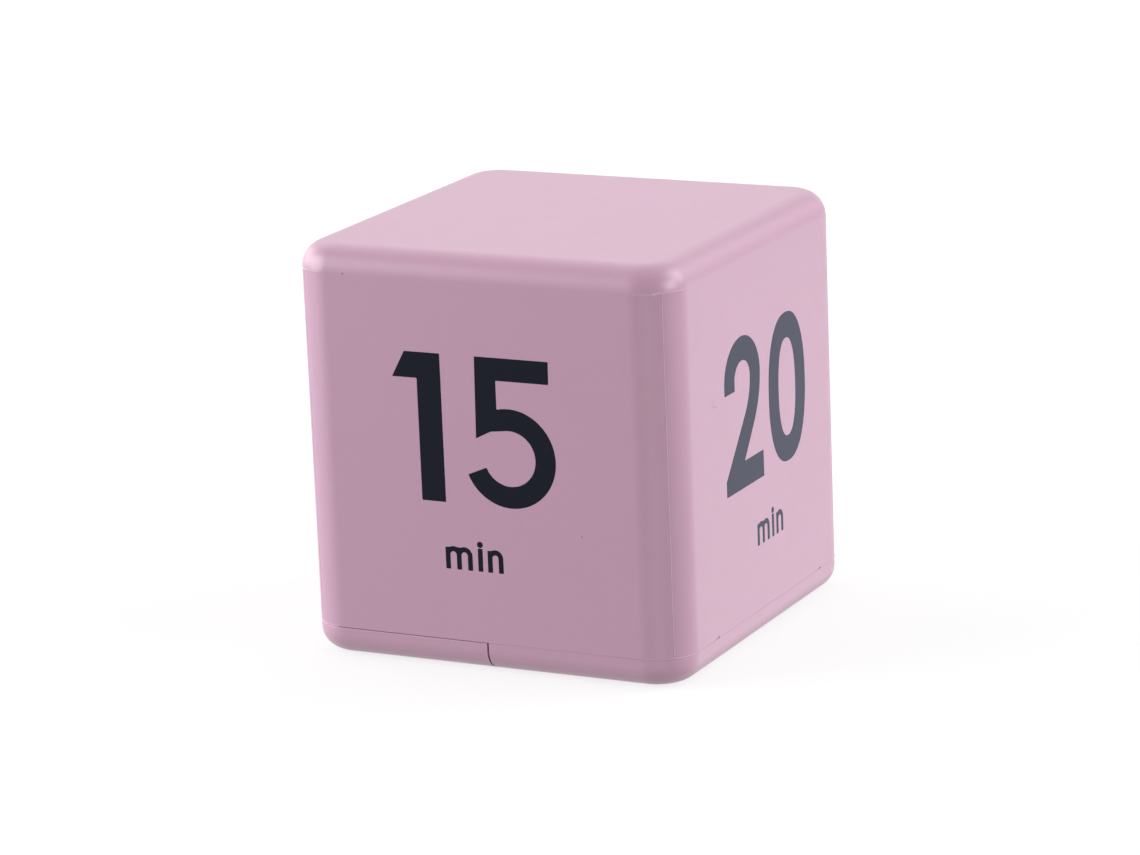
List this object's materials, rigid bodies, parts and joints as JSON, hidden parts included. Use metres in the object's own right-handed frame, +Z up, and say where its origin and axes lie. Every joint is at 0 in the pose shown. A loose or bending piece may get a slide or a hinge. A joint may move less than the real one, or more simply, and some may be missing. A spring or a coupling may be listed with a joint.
{
  "type": "cube timer",
  "caption": "Palm-sized rounded plastic cube timer, started by turning a numbered face up, with a sliding battery door, display and slide switch underneath.",
  "frame": {"origin": "middle of the display face, on the plane that the cube stands on", "axes": "+Z up through the blank top, -Y out of the 15-minute face, +X out of the 20-minute face"},
  "size_m": [0.0636, 0.0636, 0.0642],
  "materials": {
    "pink_abs": "fine matt texture",
    "black_plastic": "satin",
    "clear_window": "polished",
    "display_glass": "polished",
    "white_plastic": "satin",
    "contact_rubber": "matt",
    "green_board": "lacquered",
    "black_resin": "glossy",
    "nickel_steel": "plated",
    "brass": "bright",
    "silvered_ceramic": "silvered",
    "ferrite": "matt",
    "cell_sleeve": "printed film",
    "red_wire": "satin",
    "black_wire": "satin"
  },
  "bodies": {
    "case": {"case_shell": "pink_abs", "case_base": "pink_abs", "case_screw_1": "nickel_steel", "case_screw_2": "nickel_steel", "battery_cell_1": "cell_sleeve", "battery_cell_2": "cell_sleeve", "positive_contact": "nickel_steel", "negative_contact": "nickel_steel", "link_contact": "nickel_steel", "display_window": "clear_window", "display_glass": "display_glass", "display_holder": "white_plastic", "contact_strip": "contact_rubber", "circuit_board": "green_board", "board_screw_1": "nickel_steel", "board_screw_2": "nickel_steel", "board_screw_3": "nickel_steel", "board_screw_4": "nickel_steel", "chip_resin": "black_resin", "crystal": "nickel_steel", "boost_coil": "ferrite", "capacitor": "black_plastic", "transistor": "black_resin", "switch_frame": "nickel_steel", "switch_terminals": "black_resin", "tilt_can_front": "nickel_steel", "tilt_can_right": "nickel_steel", "tilt_can_back": "nickel_steel", "tilt_can_left": "nickel_steel", "tilt_plug_front": "black_resin", "tilt_plug_right": "black_resin", "tilt_plug_back": "black_resin", "tilt_plug_left": "black_resin", "buzzer_cup": "black_plastic", "buzzer_disc": "brass", "buzzer_ceramic": "silvered_ceramic", "battery_wire_red": "red_wire", "battery_wire_black": "black_wire", "buzzer_wire_red": "red_wire", "buzzer_wire_black": "black_wire"},
    "door": {"battery_door": "pink_abs"},
    "switch": {"switch_knob": "black_plastic"},
    "ball_front": {"tilt_ball_front": "nickel_steel"},
    "ball_right": {"tilt_ball_right": "nickel_steel"},
    "ball_back": {"tilt_ball_back": "nickel_steel"},
    "ball_left": {"tilt_ball_left": "nickel_steel"}
  },
  "joints": [
    {"name": "door_slide", "type": "slide", "parent": "case", "child": "door", "axis": [-1, 0, 0], "range_m": [0, 0.034]},
    {"name": "switch_slide", "type": "slide", "parent": "case", "child": "switch", "axis": [1, 0, 0], "range_m": [0, 0.004]},
    {"name": "front_ball_roll", "type": "slide", "parent": "case", "child": "ball_front", "axis": [0, -0.9848, 0.1736], "range_m": [0, 0.002]},
    {"name": "right_ball_roll", "type": "slide", "parent": "case", "child": "ball_right", "axis": [0.9848, 0, 0.1736], "range_m": [0, 0.002]},
    {"name": "back_ball_roll", "type": "slide", "parent": "case", "child": "ball_back", "axis": [0, 0.9848, 0.1736], "range_m": [0, 0.002]},
    {"name": "left_ball_roll", "type": "slide", "parent": "case", "child": "ball_left", "axis": [-0.9848, 0, 0.1736], "range_m": [0, 0.002]}
  ]
}
